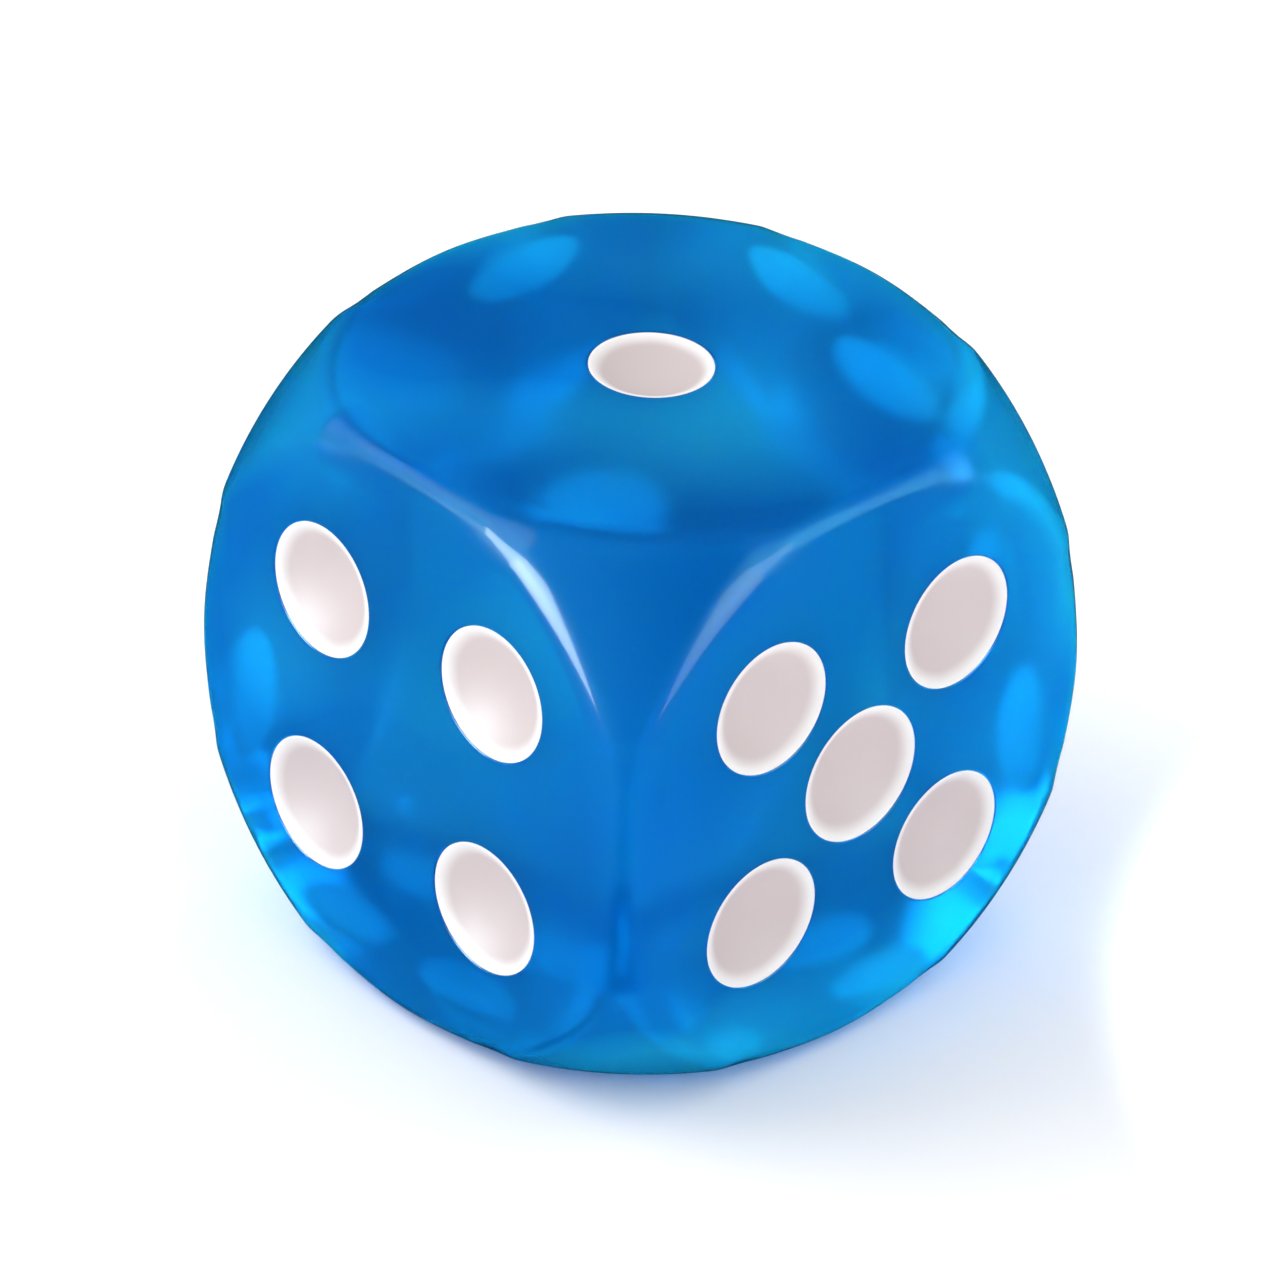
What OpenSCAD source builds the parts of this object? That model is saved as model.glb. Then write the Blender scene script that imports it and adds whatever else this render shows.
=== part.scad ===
// Six-sided gaming die: a clear block with round-cut corners, slightly crowned faces and dished,
// paint-filled pips.
// Frame: +Z up through the one face. The origin is the middle of the six face, which the die rests on.
// The four face looks along -Y, the five face along +X, and opposite faces add up to seven.

/* [Body] */
// Distance between opposite faces
side = 16; // [12:0.5:19]
// Radius of the ball that cuts the corners round, in sides
corner_share = 0.6875; // [0.68:0.0025:0.72]
// Radius of the slight crown that polishing leaves on each face, in sides
crown_share = 7; // [6:0.25:7]
// Radius of the flat land in the middle of each face, in sides
land_share = 0.3; // [0.3:0.01:0.32]

/* [Pips] */
// Diameter of the pips on faces two, three, four and five, in sides
pip_share = 0.235; // [0.2:0.005:0.24]
// Diameter of the six face's pips, in sides
six_pip_share = 0.206; // [0.18:0.002:0.22]
// Diameter of the one face's pip, in sides
one_pip_share = 0.2; // [0.18:0.002:0.24]
// Distance of a corner pip from each middle line of its face, in sides
spread_share = 0.1965; // [0.19:0.0005:0.205]
// Distance between neighbours in a row of three on the six face, in sides
six_pitch_share = 0.272; // [0.25:0.002:0.28]
// Distance of each row from the middle of the six face, in sides
six_row_share = 0.176; // [0.16:0.002:0.19]
// Depth of a pip cup, in pip diameters
cup_share = 0.2; // [0.2:0.01:0.26]

/* [Paint] */
// Thickness of the paint coat in a cup
paint_t = 0.2; // [0.1:0.01:0.25]

/* [Look] */
// Colour of the clear acrylic
body_color = "dodgerblue"; // [dodgerblue, crimson, seagreen]
// Colour of the pip paint
paint_color = "white"; // [white, ivory]

/* [Hidden] */
$fn = 96;
crown_facets = 1440;
half = side / 2;
corner_r = side * corner_share;
crown_r = side * crown_share;
land_r = side * land_share;
crown_drop = sqrt(crown_r * crown_r - land_r * land_r);
crown_z = half - crown_drop;
spread = side * spread_share;
pitch = side * six_pitch_share;
row = side * six_row_share;
pip_d = side * pip_share;
six_pip_d = side * six_pip_share;
one_pip_d = side * one_pip_share;

// A pip is [name, across, up], as seen from outside its face with the one face upward
CENTRE = ["centre", 0, 0];
UPPER_LEFT = ["upper_left", -spread, spread];
UPPER_RIGHT = ["upper_right", spread, spread];
LOWER_LEFT = ["lower_left", -spread, -spread];
LOWER_RIGHT = ["lower_right", spread, -spread];
SIX_PIPS = [
    for (line = [["upper", row], ["lower", -row]], place = [["left", -pitch], ["middle", 0], ["right", pitch]])
        [str(line[0], "_", place[0]), place[1], line[1]]
];

// A face is [name, turn that brings the +Z face to it, pip diameter, pips]
FACES = [
    ["one", [0, 0, 0], one_pip_d, [CENTRE]],
    ["two", [90, 0, -90], pip_d, [UPPER_LEFT, LOWER_RIGHT]],
    ["three", [90, 0, 180], pip_d, [LOWER_LEFT, CENTRE, UPPER_RIGHT]],
    ["four", [90, 0, 0], pip_d, [UPPER_LEFT, UPPER_RIGHT, LOWER_LEFT, LOWER_RIGHT]],
    ["five", [90, 0, 90], pip_d, [UPPER_LEFT, UPPER_RIGHT, CENTRE, LOWER_LEFT, LOWER_RIGHT]],
    ["six", [180, 0, 0], six_pip_d, SIX_PIPS]
];

function pip_node(face, pip) = str("pip_", face[0], "_", pip[0]);

// Radius of the ball that leaves a cup of diameter d and of the cup depth below a face
function cup_r(d) = (d * d / 4 + pow(d * cup_share, 2)) / (2 * d * cup_share);

// Puts its children, drawn for the +Z face of a cube centred on the origin, on the given face
module on_face(face) {
    translate([0, 0, half])
        rotate(face[1])
            children();
}

// Ball that fits a cup, less a margin all round
module cup_ball(d, pip, margin = 0) {
    translate([pip[1], pip[2], half + cup_r(d) - d * cup_share])
        sphere(r = cup_r(d) - margin);
}

// Everything below one crowned face with its flat land
module below_face() {
    rotate_extrude()
        intersection() {
            translate([0, crown_z])
                circle(r = crown_r, $fn = crown_facets);
            translate([0, half - 2 * side])
                square([side, 2 * side]);
        }
}

// The block before its cups are drilled
module blank() {
    intersection() {
        translate([0, 0, half])
            sphere(r = corner_r);
        intersection_for (face = FACES)
            on_face(face)
                below_face();
    }
}

module body() {
    color(body_color)
        difference() {
            blank();
            for (face = FACES, pip = face[3])
                on_face(face)
                    cup_ball(face[2], pip);
        }
}

// The coat of paint in one cup, cut off level with the face
module pip_paint(face, pip) {
    color(paint_color)
        on_face(face)
            intersection() {
                difference() {
                    cup_ball(face[2], pip);
                    cup_ball(face[2], pip, paint_t);
                }
                below_face();
            }
}

body();
for (face = FACES, pip = face[3])
    pip_paint(face, pip);
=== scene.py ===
"""Clear blue acrylic gaming die with dished, paint-filled pips, on a plain pale floor."""
import math

import bpy
import numpy as np
from mathutils import Matrix, Vector
from mathutils.geometry import delaunay_2d_cdt


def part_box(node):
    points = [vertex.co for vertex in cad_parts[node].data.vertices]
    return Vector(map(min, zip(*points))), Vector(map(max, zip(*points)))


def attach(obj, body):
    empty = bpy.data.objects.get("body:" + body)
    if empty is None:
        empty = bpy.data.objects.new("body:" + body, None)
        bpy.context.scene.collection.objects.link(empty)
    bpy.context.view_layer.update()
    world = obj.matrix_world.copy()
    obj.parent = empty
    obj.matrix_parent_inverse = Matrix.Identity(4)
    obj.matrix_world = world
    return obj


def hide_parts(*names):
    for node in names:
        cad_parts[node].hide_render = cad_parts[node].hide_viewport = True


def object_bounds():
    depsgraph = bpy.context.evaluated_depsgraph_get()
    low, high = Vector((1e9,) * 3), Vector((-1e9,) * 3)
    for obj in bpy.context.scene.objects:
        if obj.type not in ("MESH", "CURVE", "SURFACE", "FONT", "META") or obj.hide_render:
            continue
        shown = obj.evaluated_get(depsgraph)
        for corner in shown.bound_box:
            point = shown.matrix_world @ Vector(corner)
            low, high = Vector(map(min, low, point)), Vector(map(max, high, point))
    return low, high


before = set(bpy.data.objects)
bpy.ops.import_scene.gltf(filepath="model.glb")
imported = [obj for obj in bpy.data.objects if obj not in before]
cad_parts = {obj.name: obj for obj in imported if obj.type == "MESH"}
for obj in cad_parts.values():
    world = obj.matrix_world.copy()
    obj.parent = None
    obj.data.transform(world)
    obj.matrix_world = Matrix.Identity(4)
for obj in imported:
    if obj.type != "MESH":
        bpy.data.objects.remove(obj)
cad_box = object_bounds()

MM = 0.001
HALF = (cad_box[1].z - cad_box[0].z) / 2
CENTRE = np.array([0.0, 0.0, HALF])

# The block: six crown balls and one corner ball, met by a polished blend
CROWN_R = 150 * MM
CORNER_R = 11.1 * MM
EDGE_BLEND = 0.5 * MM
CORNER_BLEND = 1.4 * MM
CORNER_ZONE = 0.6  # least over greatest of a ray's x, y and z where the corner's blend has taken over
GRID = 112  # steps across one face's patch
NEAREST_ROUNDS = 40

# The pips
CUP_SHARE = 0.2  # depth of a cup, in its diameters
PAINT_T = 0.2 * MM  # at the bottom of the dish
LIP_W = 0.08 * MM  # width of the paint's thin lip
RIM_R = 0.08 * MM  # rounding of the cup's rim
LIP_DROP = 0.01 * MM  # how far the lip sits below the rim
CONTACT = 0.015 * MM  # how far the paint reaches into the block
SPOKES = 72
RIM_SEARCH_ROUNDS = 40
RIM_STEPS = 4
CUP_STEPS = 7
LIP_STEPS = 8
DISH_STEPS = 12

# The acrylic's colour is painted light and shade: a noise of painted light patches adds to how far the
# surface turns from the view, and the sum picks the colour, painted shade where the surface faces the view
# and painted glow towards its rims
LIGHT_PATCH_SCALE = 90
LIGHT_PATCH_W = 14.2
LIGHT_PATCH_WEIGHT = 2.2
GLOW_AND_SHADE_RANGE = (1.0, 2.4)
GLOW_AND_SHADE_COLOURS = (  # position in the range, then red, green and blue
    (0.05, 0.0, 0.155, 0.445),
    (0.25, 0.01, 0.245, 0.57),
    (0.48, 0.01, 0.285, 0.61),
    (0.72, 0.03, 0.68, 1.0),
)

# The studio
BOX_REACH = 0.35  # from the die to the softboxes that it mirrors or lets through
ROOM_REACH = 0.5  # from the die to those that light its paint and the floor
NESTED_BOXES = ((0.85, 0.5), (0.65, 1.3), (0.45, 3.2))  # share of the size, glow
BOX_TINT = {"mirror": (0.8, 0.95, 1), "matte": (1, 1, 1), "through": (0.2, 0.85, 1)}
POOL_SIZE = 12 * MM
POOL_SPREAD = 30  # degrees
POOL_HEIGHT = 60 * MM
WORLD_GLOW = 0.95
FLOOR_HALF = 3.0
FLOOR_GAP = 0.02 * MM
CAMERA_WAY = (0.61, -0.588, 0.531)
CAMERA_REACH = 0.318
CAMERA_ROLL = 2.4  # degrees

# Outward normal and upward direction of each face
FACES = {
    "one": ((0, 0, 1), (0, 1, 0)),
    "two": ((-1, 0, 0), (0, 0, 1)),
    "three": ((0, 1, 0), (0, 0, 1)),
    "four": ((0, -1, 0), (0, 0, 1)),
    "five": ((1, 0, 0), (0, 0, 1)),
    "six": ((0, 0, -1), (0, -1, 0)),
}


def unit(v):
    return v / np.linalg.norm(v, axis=-1, keepdims=True)


def face_axes(face):
    """Rows: the face's right, up and outward directions."""
    out, up = (np.array(a, float) for a in FACES[face])
    return np.array([np.cross(up, out), up, out])


def to_row(points, face):
    """Points in a face's own axes, from the die's centre, to the row frame."""
    return points @ face_axes(face) + CENTRE


# --- the block's surface -------------------------------------------------------------------------


def shrunk_balls(by):
    """The balls that bound the block where x, y and z are positive, each smaller by the given length."""
    crown_at = HALF - CROWN_R
    return [(np.eye(3)[k] * crown_at, CROWN_R - by) for k in range(3)] + [(np.zeros(3), CORNER_R - by)]


def sharp_surface(rays):
    """Where rays from the centre leave the block before its blend."""
    reach = np.full(len(rays), np.inf)
    for at, r in shrunk_balls(0):
        along = rays @ at
        reach = np.minimum(reach, along + np.sqrt(along**2 + r * r - at @ at))
    return rays * reach[:, None]


def nearest_inside(points, balls):
    """The nearest points in the space that all the balls share, by Dykstra's projections."""
    q = points.copy()
    slack = [np.zeros_like(q) for _ in balls]
    for _ in range(NEAREST_ROUNDS):
        for k, (at, r) in enumerate(balls):
            y = q + slack[k]
            away = y - at
            q = at + away * np.minimum(1, r / np.linalg.norm(away, axis=1, keepdims=True))
            slack[k] = y - q
    return q


def rolled(outer, r):
    """Points and normals of a blend of the given radius, near the given points of the sharp surface."""
    core = nearest_inside(outer, shrunk_balls(r))
    normal = unit(outer - core)
    return core + r * normal, normal


def polished(rays):
    """Points and normals where rays from the centre meet the block, its blends widest towards the corners."""
    sign = np.where(rays < 0, -1.0, 1.0)
    ahead = unit(rays * sign)
    outer = sharp_surface(ahead)
    near = np.clip(ahead.min(1) / ahead.max(1) / CORNER_ZONE, 0, 1)[:, None]
    near = near * near * (3 - 2 * near)
    edge, corner = (rolled(outer, r) for r in (EDGE_BLEND, CORNER_BLEND))
    point, normal = ((1 - near) * a + near * b for a, b in zip(edge, corner))
    return point * sign, unit(normal) * sign


def crown_z(x, y):
    return HALF - CROWN_R + np.sqrt(CROWN_R**2 - x * x - y * y)


# --- pips, in the axes of their face --------------------------------------------------------------


class Pip:
    """One cup and its paint. Spokes are half-planes through its axis, each with its own rim height."""

    def __init__(self, node):
        self.node = node
        self.face = node.split("_")[1]
        axes = face_axes(self.face)
        corners = np.array([np.array(c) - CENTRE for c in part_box(node)]) @ axes.T
        low, high = corners.min(0), corners.max(0)
        self.radius = (high[2] - low[2]) / (2 * CUP_SHARE)
        middle = (low + high) / 2
        inner = np.where(middle > 0, low + self.radius, high - self.radius)
        self.at = np.where(np.abs(middle) < self.radius / 4, middle, inner)[:2]
        depth = 2 * self.radius * CUP_SHARE
        self.ball_r = (self.radius**2 + depth**2) / (2 * depth)
        self.ball_z = HALF + self.ball_r - depth
        self.turn = np.linspace(0, 2 * math.pi, SPOKES, endpoint=False)
        self.spoke = np.stack([np.cos(self.turn), np.sin(self.turn)], 1)
        self.find_rim()

    def find_rim(self):
        """Angle from the bottom of the cup ball to the crown, on each spoke."""
        low = np.zeros(SPOKES)
        high = np.full(SPOKES, math.pi / 2)
        for _ in range(RIM_SEARCH_ROUNDS):
            mid = (low + high) / 2
            r, z = self.on_ball(mid, self.ball_r)
            above = z > self.crown(r)
            low, high = np.where(above, low, mid), np.where(above, mid, high)
        self.rim = (low + high) / 2

    def on_ball(self, angle, r):
        return r * np.sin(angle), self.ball_z - r * np.cos(angle)

    def crown(self, r):
        xy = self.at + self.spoke * np.asarray(r)[..., None]
        return crown_z(xy[..., 0], xy[..., 1])

    def ring(self, r, z):
        """Distance from the axis and height on each spoke, to points."""
        xy = self.at + self.spoke * np.broadcast_to(r, SPOKES)[:, None]
        return np.column_stack([xy, np.broadcast_to(z, SPOKES)])

    def rim_rings(self):
        """Rings of the block's rounded rim, from the crown into the cup."""
        reach = RIM_R * np.tan(self.rim / 2)
        r0, z0 = self.on_ball(self.rim, self.ball_r)
        first = (r0 + reach, self.crown(r0 + reach))
        last_angle = self.rim - reach / self.ball_r
        last = self.on_ball(last_angle, self.ball_r)
        rings = []
        for t in np.linspace(0, 1, RIM_STEPS + 1):
            stages = zip(first, (r0, z0), last)
            curve = ((1 - t) ** 2 * a + 2 * t * (1 - t) * b + t * t * c for a, b, c in stages)
            rings.append(self.ring(*curve))
        return rings, last_angle

    def block_rings(self):
        rings, last = self.rim_rings()
        for t in np.linspace(1, 0, CUP_STEPS + 1)[1:-1]:
            rings.append(self.ring(*self.on_ball(last * t, self.ball_r)))
        return rings, np.array([*self.at, self.ball_z - self.ball_r])

    def paint_rings(self):
        """Rings of the paint, from below out to the lip and down the dish; how far out each is, which sets
        the dish's painted shade; poles.
        """
        _, edge = self.rim_rings()
        under_r = self.ball_r + CONTACT
        start = edge - LIP_DROP / self.ball_r
        steps = np.linspace(0, 1, CUP_STEPS + 1)[1:]
        rings = [self.ring(*self.on_ball(start * t, under_r)) for t in steps]
        out_of_dish_shade = [1.0] * len(rings)
        a = self.on_ball(start, under_r)
        level = self.on_ball(edge, self.ball_r)[1] - LIP_DROP
        lip_r = a[0] - LIP_W
        pole_z = self.ball_z - self.ball_r + PAINT_T
        depth = level - pole_z
        dish_r = (lip_r**2 + depth**2) / (2 * depth)

        def on_dish(angle):
            return dish_r * np.sin(angle), pole_z + dish_r * (1 - np.cos(angle))

        stop = np.arcsin(lip_r / dish_r) - 0.6 * LIP_W / dish_r
        b = (a[0], level + 0.2 * LIP_W)
        c = (lip_r + 0.1 * LIP_W, level + 0.1 * LIP_W)
        d = on_dish(stop)
        for t in np.linspace(0, 1, LIP_STEPS + 1)[1:]:
            weights = ((1 - t) ** 3, 3 * t * (1 - t) ** 2, 3 * t * t * (1 - t), t**3)
            curve = (sum(w * p[i] for w, p in zip(weights, (a, b, c, d))) for i in (0, 1))
            rings.append(self.ring(*curve))
            out_of_dish_shade.append(1.0)
        for t in np.linspace(1, 0, DISH_STEPS + 1)[1:-1]:
            rings.append(self.ring(*on_dish(stop * t)))
            out_of_dish_shade.append(t)
        poles = [np.array([*self.at, z]) for z in (self.ball_z - under_r, pole_z)]
        return rings, out_of_dish_shade, poles


def band(first, second, flip=False):
    """Quads between two rings of vertex numbers."""
    n = len(first)
    quads = [(first[k], first[(k + 1) % n], second[(k + 1) % n], second[k]) for k in range(n)]
    return [q[::-1] for q in quads] if flip else quads


def fan(ring, pole, flip=False):
    n = len(ring)
    tris = [(ring[k], ring[(k + 1) % n], pole) for k in range(n)]
    return [t[::-1] for t in tris] if flip else tris


# --- meshes ---------------------------------------------------------------------------------------


def face_patch(face, pips):
    """The block's skin over one face with its cups: points, normals (None for Blender's own), faces."""
    line = np.linspace(-HALF, HALF, GRID + 1)
    gx, gy = (g.ravel() for g in np.meshgrid(line, line))
    keep = np.ones(len(gx), bool)
    for pip in pips:
        outer = pip.rim_rings()[0][0]
        flat = outer[:, :2] * (HALF / outer[:, 2:])
        centre = flat.mean(0)
        reach = np.linalg.norm(flat - centre, axis=1).max() + 0.35 * (line[1] - line[0])
        keep &= np.hypot(gx - centre[0], gy - centre[1]) > reach
    gx, gy = gx[keep], gy[keep]
    rays = np.column_stack([gx, gy, np.full(len(gx), HALF)])
    points, normals = polished(rays)
    flat2d = [Vector(p) for p in np.column_stack([gx, gy])]
    points, normals = list(points), list(normals)
    edges, rims = [], []
    for pip in pips:
        outer = pip.rim_rings()[0][0]
        first = len(points)
        for p in outer:
            flat2d.append(Vector(p[:2] * HALF / p[2]))
            points.append(p)
            normals.append(unit(p - np.array([0, 0, HALF - CROWN_R])))
        ids = list(range(first, len(points)))
        edges += [(ids[k], ids[(k + 1) % SPOKES]) for k in range(SPOKES)]
        rims.append(ids)
    verts, _, tris, orig, _, _ = delaunay_2d_cdt(flat2d, edges, [], 0, 1e-9)
    assert len(verts) == len(flat2d), "the triangulation merged or added points"
    name = [o[0] for o in orig]
    rim_of = {v: k for k, ids in enumerate(rims) for v in ids}
    faces = []
    for t in tris:
        t = [name[v] for v in t]
        on = {rim_of.get(v) for v in t}
        if len(on) == 1 and None not in on:
            continue
        a, b, c = (flat2d[v] for v in t)
        if (b - a).cross(c - a) < 0:
            t = t[::-1]
        faces.append(t)
    for pip, ids in zip(pips, rims):
        rings, pole = pip.block_rings()
        last = ids
        for ring in rings[1:]:
            new = list(range(len(points), len(points) + SPOKES))
            points += list(ring)
            normals += [None] * SPOKES
            faces += band(last, new)
            last = new
        points.append(pole)
        normals.append(None)
        faces += fan(last, len(points) - 1)
    return np.array(points), normals, faces


def make_object(name, points, faces):
    mesh = bpy.data.meshes.new(name)
    mesh.from_pydata([tuple(p) for p in points], [], faces)
    mesh.validate()
    mesh.update()
    mesh.shade_smooth()
    obj = bpy.data.objects.new(name, mesh)
    bpy.context.scene.collection.objects.link(obj)
    return obj


def weld(points, normals, faces):
    """Merges the points that neighbouring patches share."""
    key = np.round(points / (0.0005 * MM)).astype(np.int64)
    _, first, back = np.unique(key, axis=0, return_index=True, return_inverse=True)
    back = back.ravel()
    faces = [[int(back[v]) for v in f] for f in faces]
    return points[first], [normals[k] for k in first], faces


def build_block(pips):
    points, normals, faces = [], [], []
    for face in FACES:
        axes = face_axes(face)
        p, n, f = face_patch(face, [pip for pip in pips if pip.face == face])
        base = sum(len(x) for x in points)
        points.append(to_row(p, face))
        normals += [None if v is None else v @ axes for v in n]
        faces += [[v + base for v in poly] for poly in f]
    points, normals, faces = weld(np.vstack(points), normals, faces)
    obj = make_object("body_clear", points, faces)
    mesh = obj.data
    own = [tuple(v.normal) if n is None else tuple(n) for v, n in zip(mesh.vertices, normals)]
    mesh.normals_split_custom_set_from_vertices(own)
    return obj


def build_paint(pip):
    rings, out_of_dish_shade, poles = pip.paint_rings()
    points = np.vstack(rings + [p[None] for p in poles])
    ids = [list(range(k * SPOKES, (k + 1) * SPOKES)) for k in range(len(rings))]
    under, dish = len(points) - 2, len(points) - 1
    faces = fan(ids[0], under, flip=True)
    for a, b in zip(ids, ids[1:]):
        faces += band(a, b)
    faces += fan(ids[-1], dish)
    obj = make_object(pip.node.replace("pip", "paint"), to_row(points, pip.face), faces)
    # This attribute sets where the dish's painted shade fades out towards the lip.
    shade = obj.data.attributes.new("out_of_dish_shade", "FLOAT", "POINT")
    values = np.repeat(np.array(out_of_dish_shade), SPOKES).tolist() + [1.0, 0.0]
    shade.data.foreach_set("value", values)
    return obj


# --- materials ------------------------------------------------------------------------------------


def new_material(name):
    mat = bpy.data.materials.new(name)
    mat.use_nodes = True
    nodes = mat.node_tree.nodes
    return mat, nodes, mat.node_tree.links, nodes["Principled BSDF"], nodes["Material Output"]


def noise(nodes, links, scale, detail=3.0):
    where = nodes.new("ShaderNodeTexCoord")
    tex = nodes.new("ShaderNodeTexNoise")
    tex.inputs["Scale"].default_value = scale
    tex.inputs["Detail"].default_value = detail
    links.new(where.outputs["Object"], tex.inputs["Vector"])
    return tex


def acrylic():
    mat, nodes, links, shader, out = new_material("azure_acrylic")
    # Painted light and shade: the base colour is painted darker where the surface faces the view, and painted
    # lighter, as glow, towards its rims and in random patches of painted light.
    facing = nodes.new("ShaderNodeLayerWeight")
    facing.inputs["Blend"].default_value = 0.5
    light_patches = noise(nodes, links, LIGHT_PATCH_SCALE, detail=1.0)
    light_patches.noise_dimensions = "4D"
    light_patches.inputs["W"].default_value = LIGHT_PATCH_W
    # This sum sets the painted light and shade; it is not a real depth in the acrylic.
    depth = nodes.new("ShaderNodeMath")
    depth.operation = "MULTIPLY_ADD"
    depth.inputs[1].default_value = LIGHT_PATCH_WEIGHT
    links.new(light_patches.outputs["Fac"], depth.inputs[0])
    links.new(facing.outputs["Facing"], depth.inputs[2])
    span = nodes.new("ShaderNodeMapRange")
    span.inputs["From Min"].default_value, span.inputs["From Max"].default_value = GLOW_AND_SHADE_RANGE
    links.new(depth.outputs[0], span.inputs["Value"])
    ramp = nodes.new("ShaderNodeValToRGB")
    for _ in GLOW_AND_SHADE_COLOURS[2:]:
        ramp.color_ramp.elements.new(0.5)
    for element, (at, *colour) in zip(ramp.color_ramp.elements, GLOW_AND_SHADE_COLOURS):
        element.position = at
        element.color = (*colour, 1)
    links.new(span.outputs["Result"], ramp.inputs[0])
    links.new(ramp.outputs["Color"], shader.inputs["Base Color"])
    shader.inputs["Roughness"].default_value = 0.17
    shader.inputs["Coat Weight"].default_value = 1.0
    shader.inputs["Coat Roughness"].default_value = 0.03
    shader.inputs["IOR"].default_value = 1.49
    shader.inputs["Transmission Weight"].default_value = 0.73
    shader.inputs["Subsurface Weight"].default_value = 1.0
    shader.inputs["Subsurface Radius"].default_value = (0.2, 1.0, 2.0)
    shader.inputs["Subsurface Scale"].default_value = 4 * MM
    ripple = noise(nodes, links, 450)
    bump = nodes.new("ShaderNodeBump")
    bump.inputs["Strength"].default_value = 0.06
    bump.inputs["Distance"].default_value = 0.02 * MM
    links.new(ripple.outputs["Fac"], bump.inputs["Height"])
    links.new(bump.outputs["Normal"], shader.inputs["Normal"])
    tint = nodes.new("ShaderNodeVolumeAbsorption")
    tint.inputs["Color"].default_value = (0.0, 0.74, 0.93, 1)
    tint.inputs["Density"].default_value = 60
    links.new(tint.outputs["Volume"], out.inputs["Volume"])
    return mat


def pip_paint():
    mat, nodes, links, shader, _ = new_material("white_enamel")
    shader.inputs["Roughness"].default_value = 0.5
    shader.inputs["IOR"].default_value = 1.5
    # Painted shade: the dish's colour is painted darker towards its middle, as shade in the recess, and
    # lighter at the lip.
    out_of_dish_shade = nodes.new("ShaderNodeAttribute")
    out_of_dish_shade.attribute_name = "out_of_dish_shade"
    mottle = noise(nodes, links, 900)
    spread = nodes.new("ShaderNodeMath")
    spread.operation = "MULTIPLY_ADD"
    spread.inputs[1].default_value = -0.06
    links.new(mottle.outputs["Fac"], spread.inputs[0])
    links.new(out_of_dish_shade.outputs["Fac"], spread.inputs[2])
    ramp = nodes.new("ShaderNodeValToRGB")
    ramp.color_ramp.interpolation = "EASE"
    dish, lip = ramp.color_ramp.elements
    dish.position, dish.color = 0.76, (0.575, 0.495, 0.5, 1)
    lip.position, lip.color = 1.0, (0.84, 0.82, 0.82, 1)
    links.new(spread.outputs[0], ramp.inputs[0])
    links.new(ramp.outputs["Color"], shader.inputs["Base Color"])
    bump = nodes.new("ShaderNodeBump")
    bump.inputs["Strength"].default_value = 0.15
    bump.inputs["Distance"].default_value = 0.02 * MM
    links.new(mottle.outputs["Fac"], bump.inputs["Height"])
    links.new(bump.outputs["Normal"], shader.inputs["Normal"])
    return mat


def floor_paint():
    mat, _, _, shader, _ = new_material("pale_floor")
    shader.inputs["Base Color"].default_value = (0.95, 0.95, 0.95, 1)
    shader.inputs["Roughness"].default_value = 0.9
    shader.inputs["Specular IOR Level"].default_value = 0.0
    return mat


# --- scene ----------------------------------------------------------------------------------------


def build_die():
    nodes = [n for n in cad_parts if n.startswith("pip_")]
    pips = [Pip(n) for n in sorted(nodes)]
    block = build_block(pips)
    block.data.materials.append(acrylic())
    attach(block, "root")
    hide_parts("body")
    paint = pip_paint()
    for pip in pips:
        coat = build_paint(pip)
        coat.data.materials.append(paint)
        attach(coat, "root")
        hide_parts(pip.node)


def build_floor():
    mesh = bpy.data.meshes.new("floor")
    s, z = FLOOR_HALF, -FLOOR_GAP
    mesh.from_pydata([(-s, -s, z), (s, -s, z), (s, s, z), (-s, s, z)], [], [(0, 1, 2, 3)])
    floor = bpy.data.objects.new("floor", mesh)
    bpy.context.scene.collection.objects.link(floor)
    floor.data.materials.append(floor_paint())
    floor.visible_glossy = False


def softbox(name, azimuth, elevation, distance, width, height, glow, seen_by):
    """A softbox that faces the die, placed and sized in degrees. seen_by is a key of BOX_TINT."""
    a, e = math.radians(azimuth), math.radians(elevation)
    way = Vector((math.cos(e) * math.cos(a), math.cos(e) * math.sin(a), math.sin(e)))
    data = bpy.data.lights.new(name, "AREA")
    data.shape = "RECTANGLE"
    data.size = 2 * distance * math.tan(math.radians(width) / 2)
    data.size_y = 2 * distance * math.tan(math.radians(height) / 2)
    data.energy = glow * math.pi * data.size * data.size_y
    light = bpy.data.objects.new(name, data)
    light.location = Vector(CENTRE) + way * distance
    light.rotation_euler = way.to_track_quat("Z", "Y").to_euler()
    data.color = BOX_TINT[seen_by]
    light.visible_camera = False
    light.visible_glossy = seen_by == "mirror"
    light.visible_diffuse = seen_by == "matte"
    light.visible_transmission = seen_by != "mirror"
    bpy.context.scene.collection.objects.link(light)


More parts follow.
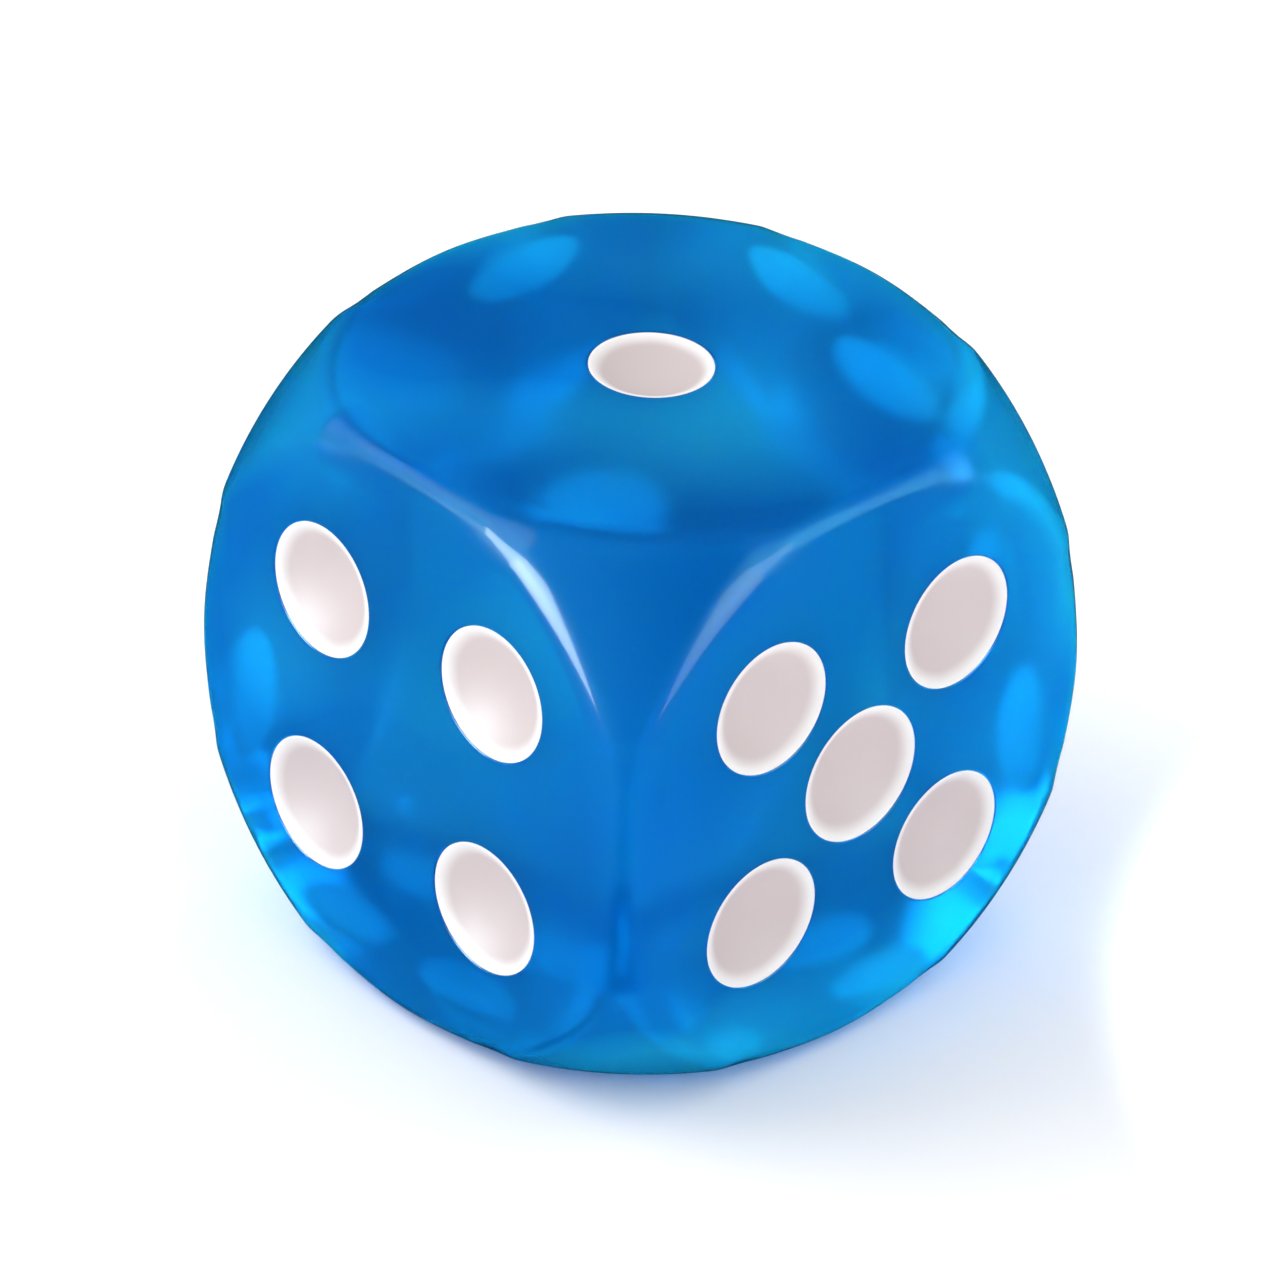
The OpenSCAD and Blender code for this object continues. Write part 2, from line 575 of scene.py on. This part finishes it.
def pool(name, azimuth, reach, power):
    """A lamp over the floor that brightens a round patch beside the die, not the die itself."""
    a = math.radians(azimuth)
    data = bpy.data.lights.new(name, "AREA")
    data.shape = "DISK"
    data.size = POOL_SIZE
    data.spread = math.radians(POOL_SPREAD)
    data.energy = power
    light = bpy.data.objects.new(name, data)
    light.location = (math.cos(a) * reach, math.sin(a) * reach, POOL_HEIGHT)
    light.visible_camera = light.visible_glossy = light.visible_transmission = False
    bpy.context.scene.collection.objects.link(light)


def build_lights():
    world = bpy.context.scene.world = bpy.data.worlds.new("studio")
    world.use_nodes = True
    world.node_tree.nodes["Background"].inputs["Color"].default_value = (1, 1, 1, 1)
    world.node_tree.nodes["Background"].inputs["Strength"].default_value = WORLD_GLOW
    world.cycles_visibility.glossy = False
    for k, (share, glow) in enumerate(NESTED_BOXES):
        softbox(f"key_{k}", -106, 10, BOX_REACH, 42 * share, 40 * share, 10 * glow, "mirror")
        softbox(f"fill_{k}", 13, 11, BOX_REACH, 42 * share, 44 * share, 2 * glow, "mirror")
    softbox("glow_left", -118, 22, BOX_REACH, 60, 44, 17, "through")
    softbox("glow_right", 28, 22, BOX_REACH, 60, 44, 19, "through")
    pool("pool_front", -44, 34 * MM, 0.05)
    pool("pool_left", -132, 33 * MM, 0.12)
    pool("pool_right", 42, 33 * MM, 0.12)
    softbox("left", -135, 45, ROOM_REACH, 35, 35, 3.6, "matte")
    softbox("right", 55, 45, ROOM_REACH, 35, 35, 0.6, "matte")


def build_camera():
    way = Vector(CAMERA_WAY).normalized()
    aim = Vector(CENTRE)
    data = bpy.data.cameras.new("camera")
    data.sensor_width = 36
    data.lens = 360
    data.clip_start = 0.01
    camera = bpy.data.objects.new("camera", data)
    roll = math.radians(CAMERA_ROLL)
    right = way.cross(Vector((0, 0, 1))).normalized() * -1
    up = way.cross(right)
    right, up = right * math.cos(roll) + up * math.sin(roll), up * math.cos(roll) - right * math.sin(roll)
    turn = Matrix((right, up, way)).transposed().to_4x4()
    camera.matrix_world = Matrix.Translation(aim + way * CAMERA_REACH) @ turn
    bpy.context.scene.collection.objects.link(camera)
    bpy.context.scene.camera = camera


build_die()
build_floor()
build_lights()
build_camera()
scene = bpy.context.scene
scene.view_settings.view_transform = "Standard"
scene.cycles.max_bounces = 32
scene.cycles.glossy_bounces = 16
scene.cycles.transmission_bounces = 32
